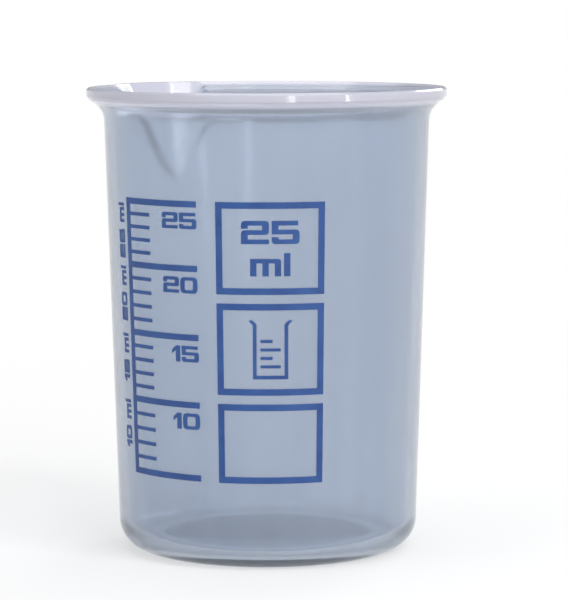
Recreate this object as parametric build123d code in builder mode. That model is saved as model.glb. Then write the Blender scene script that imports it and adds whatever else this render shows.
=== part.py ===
"""Low-form beaker for 25 ml: one translucent polypropylene moulding and the ink films printed on its wall.

Millimetres. The origin is on the beaker's axis in the plane of its foot, +Z is up, and the print faces -Y.
Angles of the print are in degrees round the axis from -Y, positive towards +X.
"""
import os
from math import acos, cos, degrees, radians, sin, tan

from build123d import *

# Cup: a drafted wall of one thickness on a rounded base
height = 48.0
foot_radius = 15.48         # the wall's outer line carried down to the foot plane
draft = 1.76                # degrees that the wall leans outwards
wall = 1.0
corner_radius = 3.0         # outside, between the wall and the foot
floor_level = 1.4           # inner floor, above the foot plane

# Underside: a foot ring round a shallow recess, with the mark of the mould's gate
ring_width = 1.5
recess_depth = 0.45
recess_bevel = 0.3
gate_radius = 0.9
gate_height = 0.2

# Lip: a trumpet flare that ends in a short cone and a squared bead
flare_drop = 3.4            # from the top of the lip down to where the wall turns out
flare_radius = 2.25         # of the outer skin
lip_slope = 36.0            # of the cone, in degrees above the horizontal
lip_overhang = 1.705        # of the lip past the wall's line at the top
lip_bevel = 0.2
bead_proud = 0.1            # that the bead stands past the skin below it

# Spout: a wedge pressed outwards, from a narrow foot buried in the wall to a wide beak at the lip
spout_azimuth = 130.0       # degrees from +X
spout_drop = 10.4           # from the top of the lip down to the wedge's foot
spout_foot_half_width = 0.6
spout_foot_sink = 0.15      # of the channel's floor inside the wall
spout_foot_bow = 0.04
beak_half_width = 5.26
beak_reach = 1.7            # from the lip's skin to the beak's
beak_bow = 1.8              # of the channel's floor between its shoulders
flank_angle = 18.0          # degrees between a flank and the spout's own direction
shoulder_blend = 0.7        # where a flank turns into the channel's floor
spout_root = 8.0            # that each wedge reaches back into the cup
outer_crease = 0.9          # blend where the spout's skin leaves the wall
inner_crease = 0.4
bead_corner = 2.5           # where the bead turns from the lip into the beak

# Print: films of ink on the outer skin
film = 0.05
level_rises = {25: 0.7758, 20: 0.6417, 15: 0.4975, 10: 0.3554, 5: 0.2013}  # of the height, to each top line
bar_thickness = 0.62
tick_thickness = 0.36
ticks_between = 4
spine_width = 0.60          # of the upright line that the marks hang on
scale_left = -58.2
bar_right = -24.7
tick_right = -45.1
panel_left = -17.6
panel_right = 20.5
panel_share = 0.326         # of the print's height, for the upper and the middle panel each
panel_gap = 0.9
panel_stroke = 0.65

# Worked out from the sizes above
cut_clear = 1.0             # that a cutting form runs past the lip
cut_turn = 1.0              # degrees that a cutter of the print runs past its edge
skin_lean = tan(radians(draft))
skin_normal = Vector(cos(radians(draft)), -sin(radians(draft)))
wall_run = Vector(sin(radians(draft)), cos(radians(draft)))
cone_run = Vector(cos(radians(lip_slope)), sin(radians(lip_slope)))
cone_normal = Vector(cone_run.Y, -cone_run.X)
flare_start = height - flare_drop
spout_foot_level = height - spout_drop
recess_radius = foot_radius - corner_radius - ring_width


def skin_radius(level, inset=0.0):
    """Radius of the wall at a height, measured `inset` inside its outer skin."""
    return foot_radius + level * skin_lean - inset / skin_normal.X


lip_radius = skin_radius(height) + lip_overhang
lip_skin = lip_radius - bead_proud


def flare_curve(inset=0.0):
    """Control points of the section's flare, a round turn from the wall to the lip's cone."""
    centre = Vector(skin_radius(flare_start), flare_start) + skin_normal * flare_radius
    turn = flare_radius + inset
    start, end = centre - skin_normal * turn, centre - cone_normal * turn
    handle = turn * tan(acos(wall_run.dot(cone_run)) / 4) * 4 / 3
    return start, start + wall_run * handle, end - cone_run * handle, end


def spout_plan(level, skin=0.0):
    """Plan of the spout at a height, grown by `skin`: two flanks that close in on a bowed floor."""
    rise = (level - spout_foot_level) / spout_drop
    foot_shoulder = skin_radius(spout_foot_level, wall) - spout_foot_sink
    beak_shoulder = lip_skin + beak_reach - wall - beak_bow
    shoulder = foot_shoulder + rise * (beak_shoulder - foot_shoulder)
    half_width = spout_foot_half_width + rise * (beak_half_width - spout_foot_half_width)
    bow = spout_foot_bow + rise * (beak_bow - spout_foot_bow)
    root_half_width = half_width + spout_root * tan(radians(flank_angle))
    with BuildSketch(Plane.XY.offset(level).rotated((0, 0, spout_azimuth))) as plan:
        with BuildLine():
            Polyline(
                (shoulder, half_width),
                (shoulder - spout_root, root_half_width),
                (shoulder - spout_root, -root_half_width),
                (shoulder, -half_width),
            )
            ThreePointArc((shoulder, -half_width), (shoulder + bow, 0), (shoulder, half_width))
        make_face()
        fillet(plan.vertices().sort_by_distance((0, 0, level))[-2:], shoulder_blend)
        if skin:
            offset(amount=skin, kind=Kind.ARC)
    return plan.sketch


def wall_film(left, right, *bands, spare=0.0):
    """Films on the wall between two angles, one for each pair of heights; cutters are thicker by `spare`."""
    with BuildPart() as films:
        with BuildSketch(Plane.XZ.rotated((0, 0, left - 90))):
            for low, high in bands:
                with BuildLine():
                    Polyline(
                        (skin_radius(low, spare), low),
                        (skin_radius(low, -film - spare), low),
                        (skin_radius(high, -film - spare), high),
                        (skin_radius(high, spare), high),
                        close=True,
                    )
                make_face()
        revolve(axis=Axis.Z, revolution_arc=right - left)
    return films.part


# The bead, one band round the lip and the beak
flare_low, _, _, flare_high = flare_curve()
lip_low = flare_high + cone_run * ((lip_skin - flare_high.X) / cone_run.X)
bead_level = lip_low.Y + lip_bevel
beak_round = (beak_half_width**2 + beak_bow**2) / (2 * beak_bow)
beak_centre = lip_skin + beak_reach - wall - beak_round
with BuildPart() as bead:
    with BuildSketch(Plane.XY.offset(bead_level).rotated((0, 0, spout_azimuth))) as bead_plan:
        Circle(lip_radius)
        with Locations((beak_centre, 0)):
            Circle(beak_round + wall + bead_proud)
        fillet(bead_plan.vertices().filter_by(lambda vertex: abs(vertex.Y) > wall), bead_corner)
    extrude(amount=height - bead_level)

# The cup and its spout, solid
with BuildPart() as form:
    with BuildSketch(Plane.XZ) as section:
        with BuildLine():
            Line((foot_radius, 0), flare_low)
            Bezier(*flare_curve())
            Polyline(flare_high, lip_low, (lip_skin, height), (0, height), (0, 0), (foot_radius, 0))
        make_face()
        fillet(section.vertices().sort_by_distance((foot_radius, 0))[0], corner_radius)
        chamfer(section.vertices().sort_by_distance(lip_low)[0], lip_bevel)
    revolve(axis=Axis.Z)

    add(spout_plan(spout_foot_level, skin=wall))
    add(spout_plan(height, skin=wall))
    loft(ruled=True)
    fillet(form.edges(Select.NEW), outer_crease)

# The moulding
with BuildPart() as beaker:
    add(form.part)
    add(bead.part)
    chamfer(beaker.faces().sort_by(Axis.Z)[-1].edges(), lip_bevel)

    # The cavity, offset from the outer form by the wall
    with BuildSketch(Plane.XZ) as cavity:
        mouth_low, _, _, mouth_high = flare_curve(inset=wall)
        mouth_end = mouth_high + cone_run * ((height + cut_clear - mouth_high.Y) / cone_run.Y)
        floor_edge = Vector(skin_radius(floor_level, wall), floor_level)
        with BuildLine():
            Line(floor_edge, mouth_low)
            Bezier(*flare_curve(inset=wall))
            Polyline(mouth_high, mouth_end, (0, mouth_end.Y), (0, floor_level), floor_edge)
        make_face()
        fillet(cavity.vertices().sort_by_distance(floor_edge)[0], corner_radius - wall)
    revolve(axis=Axis.Z, mode=Mode.SUBTRACT)

    add(spout_plan(spout_foot_level))
    add(spout_plan(height + cut_clear))
    loft(ruled=True, mode=Mode.SUBTRACT)
    fillet(beaker.edges(Select.NEW).filter_by(lambda edge: edge.center().Z < height - lip_bevel / 2), inner_crease)

    # The underside
    with BuildSketch(Plane.XZ) as recess:
        with BuildLine():
            Polyline(
                (0, 0),
                (recess_radius, 0),
                (recess_radius, recess_depth),
                (gate_radius, recess_depth),
                (gate_radius, recess_depth - gate_height),
                (0, recess_depth - gate_height),
                close=True,
            )
        make_face()
        chamfer(recess.vertices().sort_by_distance((recess_radius, recess_depth))[0], recess_bevel)
    revolve(axis=Axis.Z, mode=Mode.SUBTRACT)

# The graduated scale: long bars at the numbered levels and short ticks between them, on one upright line
level_tops = {level: rise * height for level, rise in level_rises.items()}
levels = sorted(level_tops)
scale_foot = level_tops[levels[0]] - bar_thickness
scale_top = level_tops[levels[-1]]
spine_right = scale_left + degrees(spine_width / skin_radius(height / 2))
bar_gaps = []
tick_gaps = []
for low, high in zip(levels, levels[1:]):
    gap_foot, gap_top = level_tops[low], level_tops[high] - bar_thickness
    bar_gaps.append((gap_foot, gap_top))
    step = (level_tops[high] - level_tops[low]) / (ticks_between + 1)
    for tick in range(1, ticks_between + 1):
        middle = level_tops[low] - bar_thickness / 2 + tick * step
        tick_gaps.append((gap_foot, middle - tick_thickness / 2))
        gap_foot = middle + tick_thickness / 2
    tick_gaps.append((gap_foot, gap_top))
with BuildPart() as scale:
    add(wall_film(scale_left, bar_right, (scale_foot, scale_top)))
    add(wall_film(tick_right, bar_right + cut_turn, *bar_gaps, spare=film), mode=Mode.SUBTRACT)
    add(wall_film(spine_right, bar_right + cut_turn, *tick_gaps, spare=film), mode=Mode.SUBTRACT)

# The three framed panels, one above the other between the scale's highest and lowest lines
stroke_turn = degrees(panel_stroke / skin_radius(height / 2))
panel_height = panel_share * (scale_top - scale_foot)
panel_limits = {
    "upper": (scale_top - panel_height, scale_top),
    "middle": (scale_top - 2 * panel_height - panel_gap, scale_top - panel_height - panel_gap),
    "lower": (scale_foot, scale_top - 2 * (panel_height + panel_gap)),
}


def panel_frame(low, high):
    """A rectangular line of ink round an open panel."""
    opening = (low + panel_stroke, high - panel_stroke)
    with BuildPart() as frame:
        add(wall_film(panel_left, panel_right, (low, high)))
        add(
            wall_film(panel_left + stroke_turn, panel_right - stroke_turn, opening, spare=film),
            mode=Mode.SUBTRACT,
        )
    return frame.part


os.makedirs("parts", exist_ok=True)
beaker.part.label = "beaker"
scale.part.label = "graduated_scale"
frames = []
for name, (low, high) in panel_limits.items():
    frame = panel_frame(low, high)
    frame.label = f"panel_frame_{name}"
    frames.append(frame)
for piece in [beaker.part, scale.part, *frames]:
    export_step(piece, f"parts/{piece.label}.step")
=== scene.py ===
import math

import bmesh
import bpy
from mathutils import Matrix, Vector


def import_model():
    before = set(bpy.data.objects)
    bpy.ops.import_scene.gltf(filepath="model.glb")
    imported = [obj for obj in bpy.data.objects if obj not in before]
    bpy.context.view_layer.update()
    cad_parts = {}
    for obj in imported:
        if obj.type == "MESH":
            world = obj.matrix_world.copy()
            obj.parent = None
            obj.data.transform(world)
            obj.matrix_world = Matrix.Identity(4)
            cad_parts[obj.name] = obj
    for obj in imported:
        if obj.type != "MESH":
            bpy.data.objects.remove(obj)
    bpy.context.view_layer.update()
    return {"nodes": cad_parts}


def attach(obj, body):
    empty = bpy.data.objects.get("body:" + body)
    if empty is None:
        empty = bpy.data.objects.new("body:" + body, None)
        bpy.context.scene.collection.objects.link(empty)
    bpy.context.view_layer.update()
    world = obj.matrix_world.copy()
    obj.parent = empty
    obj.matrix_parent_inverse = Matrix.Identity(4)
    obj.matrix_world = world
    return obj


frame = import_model()
scene = bpy.context.scene
MM = 0.001

# The wall that the print lies on, in millimetres, and angles round the axis from -Y towards +X, in degrees
FOOT_RADIUS = 15.48
DRAFT = math.radians(1.76)
INK_FILM = 0.05
INK_SINK = 0.01
BAR_TOPS = {25: 37.24, 20: 30.80, 15: 23.88, 10: 17.06}
BAR = 0.62
BAR_RIGHT = -24.7
LEGEND_ANGLE = -62.7
PANEL_ANGLE = 1.45

# The small print, in millimetres
NUMERAL_HEIGHT = 1.62
NUMERAL_DROP = 0.55      # below the underside of its bar
LEGEND_HEIGHT = 1.15
LEGEND_SHIFT = 0.57      # from the middle of the legend's strip to its baseline
CAPACITY_HEIGHT = 2.3
CAPACITY_LINES = (33.1, 29.9)
BEND_STEP = 0.4          # between the cuts that let a film bend round the wall

# The camera, in metres and radians
EYE = Vector((0.00175, -0.30012, 0.05833))
PITCH = 0.10806
ROLL = -0.0025
SENSOR_WIDTH = 36.0
LENS = 173.32


def wall_radius(z):
    return FOOT_RADIUS + z * math.tan(DRAFT)


# Materials


class Nodes:
    """A material's node tree, with short ways to add and join nodes."""

    def __init__(self, name):
        self.material = bpy.data.materials.new(name)
        self.material.use_nodes = True
        self.tree = self.material.node_tree
        self.tree.nodes.clear()
        self.out = self.tree.nodes.new("ShaderNodeOutputMaterial")

    def add(self, kind, **values):
        node = self.tree.nodes.new(kind)
        for key, value in values.items():
            if hasattr(node, key):
                setattr(node, key, value)
            else:
                node.inputs[key.replace("_", " ")].default_value = value
        return node

    def join(self, a, b):
        self.tree.links.new(a, b)

    def place(self, scale, turn=(0.0, 0.0, 0.0)):
        """Object coordinates, stretched and turned."""
        coords = self.add("ShaderNodeTexCoord")
        mapping = self.add("ShaderNodeMapping", Scale=scale, Rotation=turn)
        self.join(coords.outputs["Object"], mapping.inputs["Vector"])
        return mapping.outputs["Vector"]

    def noise(self, vector, scale, detail=4.0, roughness=0.55):
        node = self.add("ShaderNodeTexNoise", Scale=scale, Detail=detail, Roughness=roughness)
        self.join(vector, node.inputs["Vector"])
        return node.outputs["Fac"]

    def ramp(self, fac, *stops):
        """A colour ramp through (position, colour) stops; a plain number is a grey."""
        node = self.add("ShaderNodeValToRGB")
        elements = node.color_ramp.elements
        while len(elements) < len(stops):
            elements.new(0.5)
        for element, (position, colour) in zip(elements, stops):
            element.position = position
            element.color = (*colour, 1.0) if isinstance(colour, tuple) else (colour, colour, colour, 1.0)
        self.join(fac, node.inputs["Fac"])
        return node.outputs["Color"]

    def mix(self, fac, a, b, blend="MIX"):
        node = self.add("ShaderNodeMix", data_type="RGBA", blend_type=blend)
        for socket, value in ((node.inputs[0], fac), (node.inputs[6], a), (node.inputs[7], b)):
            if isinstance(value, bpy.types.NodeSocket):
                self.join(value, socket)
            else:
                socket.default_value = (*value, 1.0) if isinstance(value, tuple) else value
        return node.outputs[2]

    def band(self, low, high):
        """0 below one height of the object and 1 above another."""
        coords = self.add("ShaderNodeTexCoord")
        split = self.add("ShaderNodeSeparateXYZ")
        fade = self.add("ShaderNodeMapRange", interpolation_type="SMOOTHSTEP", From_Min=low, From_Max=high)
        self.join(coords.outputs["Object"], split.inputs[0])
        self.join(split.outputs["Z"], fade.inputs["Value"])
        return fade.outputs["Result"]

    def outward(self, low, high):
        """0 inside one radius round the object's axis and 1 outside another."""
        coords = self.add("ShaderNodeTexCoord")
        level = self.add("ShaderNodeVectorMath", operation="MULTIPLY")
        level.inputs[1].default_value = (1.0, 1.0, 0.0)
        reach = self.add("ShaderNodeVectorMath", operation="LENGTH")
        fade = self.add("ShaderNodeMapRange", interpolation_type="SMOOTHSTEP", From_Min=low, From_Max=high)
        self.join(coords.outputs["Object"], level.inputs[0])
        self.join(level.outputs[0], reach.inputs[0])
        self.join(reach.outputs["Value"], fade.inputs["Value"])
        return fade.outputs["Result"]

    def math(self, operation, a, b):
        node = self.add("ShaderNodeMath", operation=operation)
        self.join(a, node.inputs[0])
        self.join(b, node.inputs[1])
        return node.outputs[0]

    def bump(self, height, strength, distance, under=None):
        node = self.add("ShaderNodeBump", Strength=strength, Distance=distance)
        self.join(height, node.inputs["Height"])
        if under is not None:
            self.join(under, node.inputs["Normal"])
        return node.outputs["Normal"]


def polypropylene():
    """Translucent polypropylene: faintly hazy, milky at the thick rim bead and lightened there as a
    painted highlight, darker towards the silhouette as painted shade, with flow streaks and scuffs.
    """
    n = Nodes("polypropylene")
    shader = n.add("ShaderNodeBsdfPrincipled")
    shader.inputs["IOR"].default_value = 1.49
    # Rim bead mask: the plastic there is thick and milkier, and the bead is also lightened as a painted
    # highlight for the light it catches from above and in front.
    lip_milk_and_painted_light = n.math("MULTIPLY", n.outward(0.0176, 0.0182), n.band(0.0452, 0.0462))
    # Painted shade: the wall darkens towards its silhouette, standing in for darker surroundings seen
    # through the wall and reflected there.
    painted_silhouette_shade = n.add("ShaderNodeLayerWeight", Blend=0.5).outputs["Facing"]
    streaks = n.noise(n.place((420.0, 420.0, 14.0)), 1.0, detail=3.0)
    clouds = n.noise(n.place((70.0, 70.0, 45.0)), 1.0, detail=3.0)
    scuffs = n.noise(n.place((2600.0, 2600.0, 120.0), turn=(0.5, 0.3, 0.0)), 1.0, detail=2.0)
    fine = n.noise(n.place((5200.0, 5200.0, 5200.0)), 1.0, detail=2.0)
    haze = n.ramp(clouds, (0.3, (0.62, 0.69, 0.80)), (0.7, (0.67, 0.73, 0.82)))
    colour = n.mix(0.35, haze, n.ramp(streaks, (0.35, (0.58, 0.66, 0.79)), (0.65, (0.71, 0.75, 0.83))))
    # Painted shade: darker blue-grey towards the silhouette.
    colour = n.mix(n.ramp(painted_silhouette_shade, (0.6, 0.0), (0.95, 0.8)), colour, (0.42, 0.50, 0.62))
    # Lighter lavender on the rim bead: milky thick plastic, and partly a painted highlight.
    colour = n.mix(lip_milk_and_painted_light, colour, (0.82, 0.81, 0.92))
    n.join(colour, shader.inputs["Base Color"])
    clear = n.ramp(streaks, (0.3, 0.84), (0.7, 0.88))
    n.join(n.mix(lip_milk_and_painted_light, clear, (0.45, 0.45, 0.45)), shader.inputs["Transmission Weight"])
    rough = n.ramp(streaks, (0.3, 0.07), (0.7, 0.12))
    rough = n.mix(n.ramp(scuffs, (0.66, 0.0), (0.78, 0.3)), rough, (0.4, 0.4, 0.4))
    n.join(rough, shader.inputs["Roughness"])
    normal = n.bump(streaks, 0.1, 0.00006)
    normal = n.bump(clouds, 0.2, 0.0004, normal)
    normal = n.bump(fine, 0.08, 0.00002, normal)
    n.join(normal, shader.inputs["Normal"])
    n.join(shader.outputs[0], n.out.inputs["Surface"])
    body = n.add("ShaderNodeVolumeAbsorption", Color=(0.33, 0.42, 0.50, 1.0), Density=120.0)
    n.join(body.outputs[0], n.out.inputs["Volume"])
    return n.material


def print_ink():
    """Matt blue screen ink, a little uneven, with pinholes."""
    n = Nodes("print_ink")
    shader = n.add("ShaderNodeBsdfPrincipled")
    shader.inputs["IOR"].default_value = 1.5
    cover = n.noise(n.place((380.0, 380.0, 380.0)), 1.0, detail=4.0)
    grain = n.noise(n.place((3800.0, 3800.0, 3800.0)), 1.0, detail=2.0)
    colour = n.ramp(cover, (0.3, (0.008, 0.046, 0.20)), (0.7, (0.018, 0.076, 0.26)))
    colour = n.mix(n.ramp(grain, (0.66, 0.0), (0.78, 0.45)), colour, (0.05, 0.13, 0.33))
    n.join(colour, shader.inputs["Base Color"])
    n.join(n.ramp(grain, (0.3, 0.42), (0.7, 0.6)), shader.inputs["Roughness"])
    n.join(n.bump(grain, 0.3, 0.00002), shader.inputs["Normal"])
    n.join(shader.outputs[0], n.out.inputs["Surface"])
    return n.material


# Print


def rounded(points, radius, corners):
    """The outline with the corners at these indices rounded."""
    out = []
    for i, (x, y) in enumerate(points):
        if i not in corners:
            out.append((x, y))
            continue
        here = Vector((x, y))
        back = (Vector(points[i - 1]) - here).normalized()
        on = (Vector(points[(i + 1) % len(points)]) - here).normalized()
        start, end = here + back * radius, here + on * radius
        for step in range(6):
            t = step / 5
            out.append(tuple(start * (1 - t) ** 2 + here * 2 * t * (1 - t) + end * t**2))
    return out


def rectangle(x0, y0, x1, y1, radius=0.0):
    points = [(x0, y0), (x1, y0), (x1, y1), (x0, y1)]
    return rounded(points, radius, range(4)) if radius else points


def glyph(mark):
    """(advance, outlines) of a wide, square-shouldered numeral or letter one unit tall."""
    if mark == "0":
        return 1.32, [rectangle(0, 0, 1.2, 1, 0.3), rectangle(0.3, 0.2, 0.9, 0.8, 0.12)]
    if mark == "1":
        return 0.72, [[(0.28, 0), (0.6, 0), (0.6, 1), (0.32, 1), (0, 0.74), (0, 0.5), (0.28, 0.7)]]
    if mark == "2":
        points = [
            (0, 0), (1.2, 0), (1.2, 0.2), (0.29, 0.2), (0.29, 0.4), (1.2, 0.4), (1.2, 1),
            (0, 1), (0, 0.66), (0.29, 0.66), (0.29, 0.8), (0.91, 0.8), (0.91, 0.6), (0, 0.6),
        ]
        return 1.32, [rounded(points, 0.18, (5, 6, 7, 13))]
    if mark == "5":
        points = [
            (0, 0), (1.2, 0), (1.2, 0.62), (0.29, 0.62), (0.29, 0.8), (1.14, 0.8), (1.14, 1),
            (0, 1), (0, 0.42), (0.91, 0.42), (0.91, 0.2), (0.29, 0.2), (0.29, 0.3), (0, 0.3),
        ]
        return 1.32, [rounded(points, 0.18, (0, 1, 2))]
    if mark == "m":
        points = [
            (0, 0), (0.27, 0), (0.27, 0.56), (0.53, 0.56), (0.53, 0), (0.8, 0), (0.8, 0.56),
            (1.06, 0.56), (1.06, 0), (1.33, 0), (1.33, 0.75), (0, 0.75),
        ]
        return 1.46, [rounded(points, 0.14, (10,))]
    if mark == "l":
        return 0.4, [rectangle(0, 0, 0.27, 1)]
    return 0.5, []


def lettering(text, height):
    """(width, outlines) of a line of print, from its lower left corner."""
    x, loops = 0.0, []
    for mark in text:
        advance, outlines = glyph(mark)
        loops += [[((x + px) * height, py * height) for px, py in outline] for outline in outlines]
        x += advance
    return (x - 0.12) * height, loops


def moved(loops, x, y, upright=False):
    """The outlines moved to x, y, and turned to read upwards if upright."""
    if upright:
        loops = [[(-py, px) for px, py in loop] for loop in loops]
    return [[(px + x, py + y) for px, py in loop] for loop in loops]


def print_on_wall(name, loops, angle, material):
    """A film of ink on the wall with these outlines: x along the wall from the angle, y the height."""
    bm = bmesh.new()
    for loop in loops:
        verts = [bm.verts.new((x, 0.0, z)) for x, z in loop]
        for a, b in zip(verts, verts[1:] + verts[:1]):
            bm.edges.new((a, b))
    bmesh.ops.triangle_fill(bm, use_beauty=True, edges=bm.edges[:], normal=(0, -1, 0))
    lowest = min(v.co.x for v in bm.verts)
    highest = max(v.co.x for v in bm.verts)
    x = math.ceil(lowest / BEND_STEP) * BEND_STEP
    while x < highest:
        whole = bm.verts[:] + bm.edges[:] + bm.faces[:]
        bmesh.ops.bisect_plane(bm, geom=whole, plane_co=(x, 0, 0), plane_no=(1, 0, 0))
        x += BEND_STEP
    bmesh.ops.dissolve_degenerate(bm, dist=1e-5, edges=bm.edges[:])
    outside = bmesh.ops.extrude_face_region(bm, geom=bm.faces[:])
    outer = {v for v in outside["geom"] if isinstance(v, bmesh.types.BMVert)}
    for v in bm.verts:
        radius = wall_radius(v.co.z) + (INK_FILM if v in outer else -INK_SINK)
        turn = math.radians(angle) + v.co.x / wall_radius(v.co.z)
        v.co = Vector((radius * math.sin(turn), -radius * math.cos(turn), v.co.z)) * MM
    bmesh.ops.recalc_face_normals(bm, faces=bm.faces[:])
    mesh = bpy.data.meshes.new(name)
    bm.to_mesh(mesh)
    bm.free()
    mesh.materials.append(material)
    piece = bpy.data.objects.new(name, mesh)
    scene.collection.objects.link(piece)
    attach(piece, "root")


def small_print(ink):
    """Numerals under the bars, upright labels beside the scale and a mark in two panels."""
    for level, top in BAR_TOPS.items():
        width, loops = lettering(str(level), NUMERAL_HEIGHT)
        foot = top - BAR - NUMERAL_DROP - NUMERAL_HEIGHT
        print_on_wall(f"numeral_{level}", moved(loops, -width, foot), BAR_RIGHT, ink)
        width, loops = lettering(f"{level} ml", LEGEND_HEIGHT)
        label = moved(loops, LEGEND_SHIFT, top - BAR - width, upright=True)
        print_on_wall(f"legend_{level}", label, LEGEND_ANGLE, ink)
    capacity = []
    for text, line in zip(("25", "ml"), CAPACITY_LINES):
        width, loops = lettering(text, CAPACITY_HEIGHT)
        capacity += moved(loops, -width / 2, line)
    print_on_wall("capacity_mark", capacity, PANEL_ANGLE, ink)
    print_on_wall("beaker_sign", beaker_sign(), PANEL_ANGLE, ink)


def beaker_sign():
    """The outlines of a small plain beaker with level lines."""
    low, high, half, line = 19.6, 25.5, 1.75, 0.36
    outer = [
        (-half, low), (half, low), (half, high - 0.5), (half + 0.45, high), (half + 0.05, high),
        (half - line, high - 0.4), (half - line, low + line), (-half + line, low + line),
        (-half + line, high - 0.4), (-half - 0.05, high), (-half - 0.45, high), (-half, high - 0.5),
    ]
    margin, rise, shorter, thickness = 0.75, 0.85, 0.8, 0.3
    levels = []
    for mark in range(4):
        z = low + 1.1 + mark * rise
        right = half - margin - (shorter if mark % 2 else 0.0)
        levels.append(rectangle(-half + margin, z, right, z + thickness))
    return [outer] + levels


# Stage


def area_light(name, place, size, power, aim=(0.0, 0.0, 0.026)):
    data = bpy.data.lights.new(name, "AREA")
    data.shape = "RECTANGLE"
    data.size, data.size_y = size
    data.energy = power
    lamp = bpy.data.objects.new(name, data)
    lamp.location = place
    lamp.rotation_euler = (Vector(aim) - Vector(place)).to_track_quat("-Z", "Y").to_euler()
    scene.collection.objects.link(lamp)


def seen_directly(n):
    """1 for the camera, for reflections and through the plastic, 0 for light that falls on surfaces."""
    path = n.add("ShaderNodeLightPath").outputs
    mirrored = n.math("MAXIMUM", path["Is Camera Ray"], path["Is Glossy Ray"])
    return n.math("MAXIMUM", mirrored, path["Is Transmission Ray"])


def world():
    """Soft light from all round, and plain white where the camera sees past the floor."""
    studio = bpy.data.worlds.new("studio")
    studio.use_nodes = True
    scene.world = studio
    tree = studio.node_tree
    tree.nodes.clear()
    out = tree.nodes.new("ShaderNodeOutputWorld")
    path = tree.nodes.new("ShaderNodeLightPath")
    soft = tree.nodes.new("ShaderNodeBackground")
    soft.inputs["Color"].default_value = (0.95, 0.97, 1.0, 1.0)
    soft.inputs["Strength"].default_value = 0.38
    white = tree.nodes.new("ShaderNodeBackground")
    white.inputs["Strength"].default_value = 1.0
    white.inputs["Color"].default_value = (1.0, 1.0, 1.0, 1.0)
    seen = tree.nodes.new("ShaderNodeMixShader")
    tree.links.new(path.outputs["Is Camera Ray"], seen.inputs[0])
    tree.links.new(soft.outputs[0], seen.inputs[1])
    tree.links.new(white.outputs[0], seen.inputs[2])
    tree.links.new(seen.outputs[0], out.inputs["Surface"])


def white_paper():
    """Paper that takes the beaker's shadow and turns plain white away from it."""
    n = Nodes("studio_floor")
    paper = n.add("ShaderNodeBsdfDiffuse", Color=(0.86, 0.86, 0.86, 1.0))
    glow = n.add("ShaderNodeEmission", Color=(1.0, 1.0, 1.0, 1.0), Strength=1.0)
    coords = n.add("ShaderNodeTexCoord")
    away = n.add("ShaderNodeVectorMath", operation="LENGTH")
    n.join(coords.outputs["Object"], away.inputs[0])
    fade = n.add("ShaderNodeMapRange", interpolation_type="SMOOTHSTEP", From_Min=0.02, From_Max=0.2)
    fade.inputs["To Min"].default_value = 0.55
    n.join(away.outputs["Value"], fade.inputs["Value"])
    blend = n.add("ShaderNodeMixShader")
    n.join(n.math("MULTIPLY", seen_directly(n), fade.outputs["Result"]), blend.inputs[0])
    n.join(paper.outputs[0], blend.inputs[1])
    n.join(glow.outputs[0], blend.inputs[2])
    n.join(blend.outputs[0], n.out.inputs["Surface"])
    return n.material


def stage():
    scene.view_settings.view_transform = "Standard"
    world()
    bm = bmesh.new()
    bmesh.ops.create_circle(bm, cap_ends=True, segments=96, radius=3.0)
    mesh = bpy.data.meshes.new("floor")
    bm.to_mesh(mesh)
    bm.free()
    mesh.materials.append(white_paper())
    floor = bpy.data.objects.new("floor", mesh)
    scene.collection.objects.link(floor)

    area_light("key", (0.28, -0.34, 0.42), (0.30, 0.30), 1.5)
    area_light("strip_right", (0.40, -0.32, 0.20), (0.03, 0.40), 0.42)
    area_light("strip_front", (0.14, -0.49, 0.20), (0.04, 0.40), 0.5)
    area_light("fill", (-0.45, -0.25, 0.22), (0.35, 0.35), 0.7)
    area_light("top", (0.0, 0.05, 0.55), (0.45, 0.45), 1.1)
    area_light("rear", (0.25, 0.45, 0.30), (0.2, 0.3), 0.8)


def camera():
    data = bpy.data.cameras.new("camera")
    data.sensor_width = SENSOR_WIDTH
    data.lens = LENS
    data.clip_start = 0.01
    ahead = Vector((0.0, math.cos(PITCH), -math.sin(PITCH)))
    level_up = Vector((0.0, math.sin(PITCH), math.cos(PITCH)))
    right = Vector((math.cos(ROLL), 0.0, 0.0)) + level_up * math.sin(ROLL)
    right.normalize()
    up = right.cross(ahead)
    turn = Matrix((right, up, -ahead)).transposed().to_4x4()
    eye = bpy.data.objects.new("camera", data)
    eye.matrix_world = Matrix.Translation(EYE) @ turn
    scene.collection.objects.link(eye)
    scene.camera = eye


plastic = polypropylene()
ink = print_ink()
for node, piece in frame["nodes"].items():
    for slot in piece.material_slots:
        slot.material = plastic if node == "beaker" else ink
    for polygon in piece.data.polygons:
        polygon.use_smooth = True
small_print(ink)
stage()
camera()
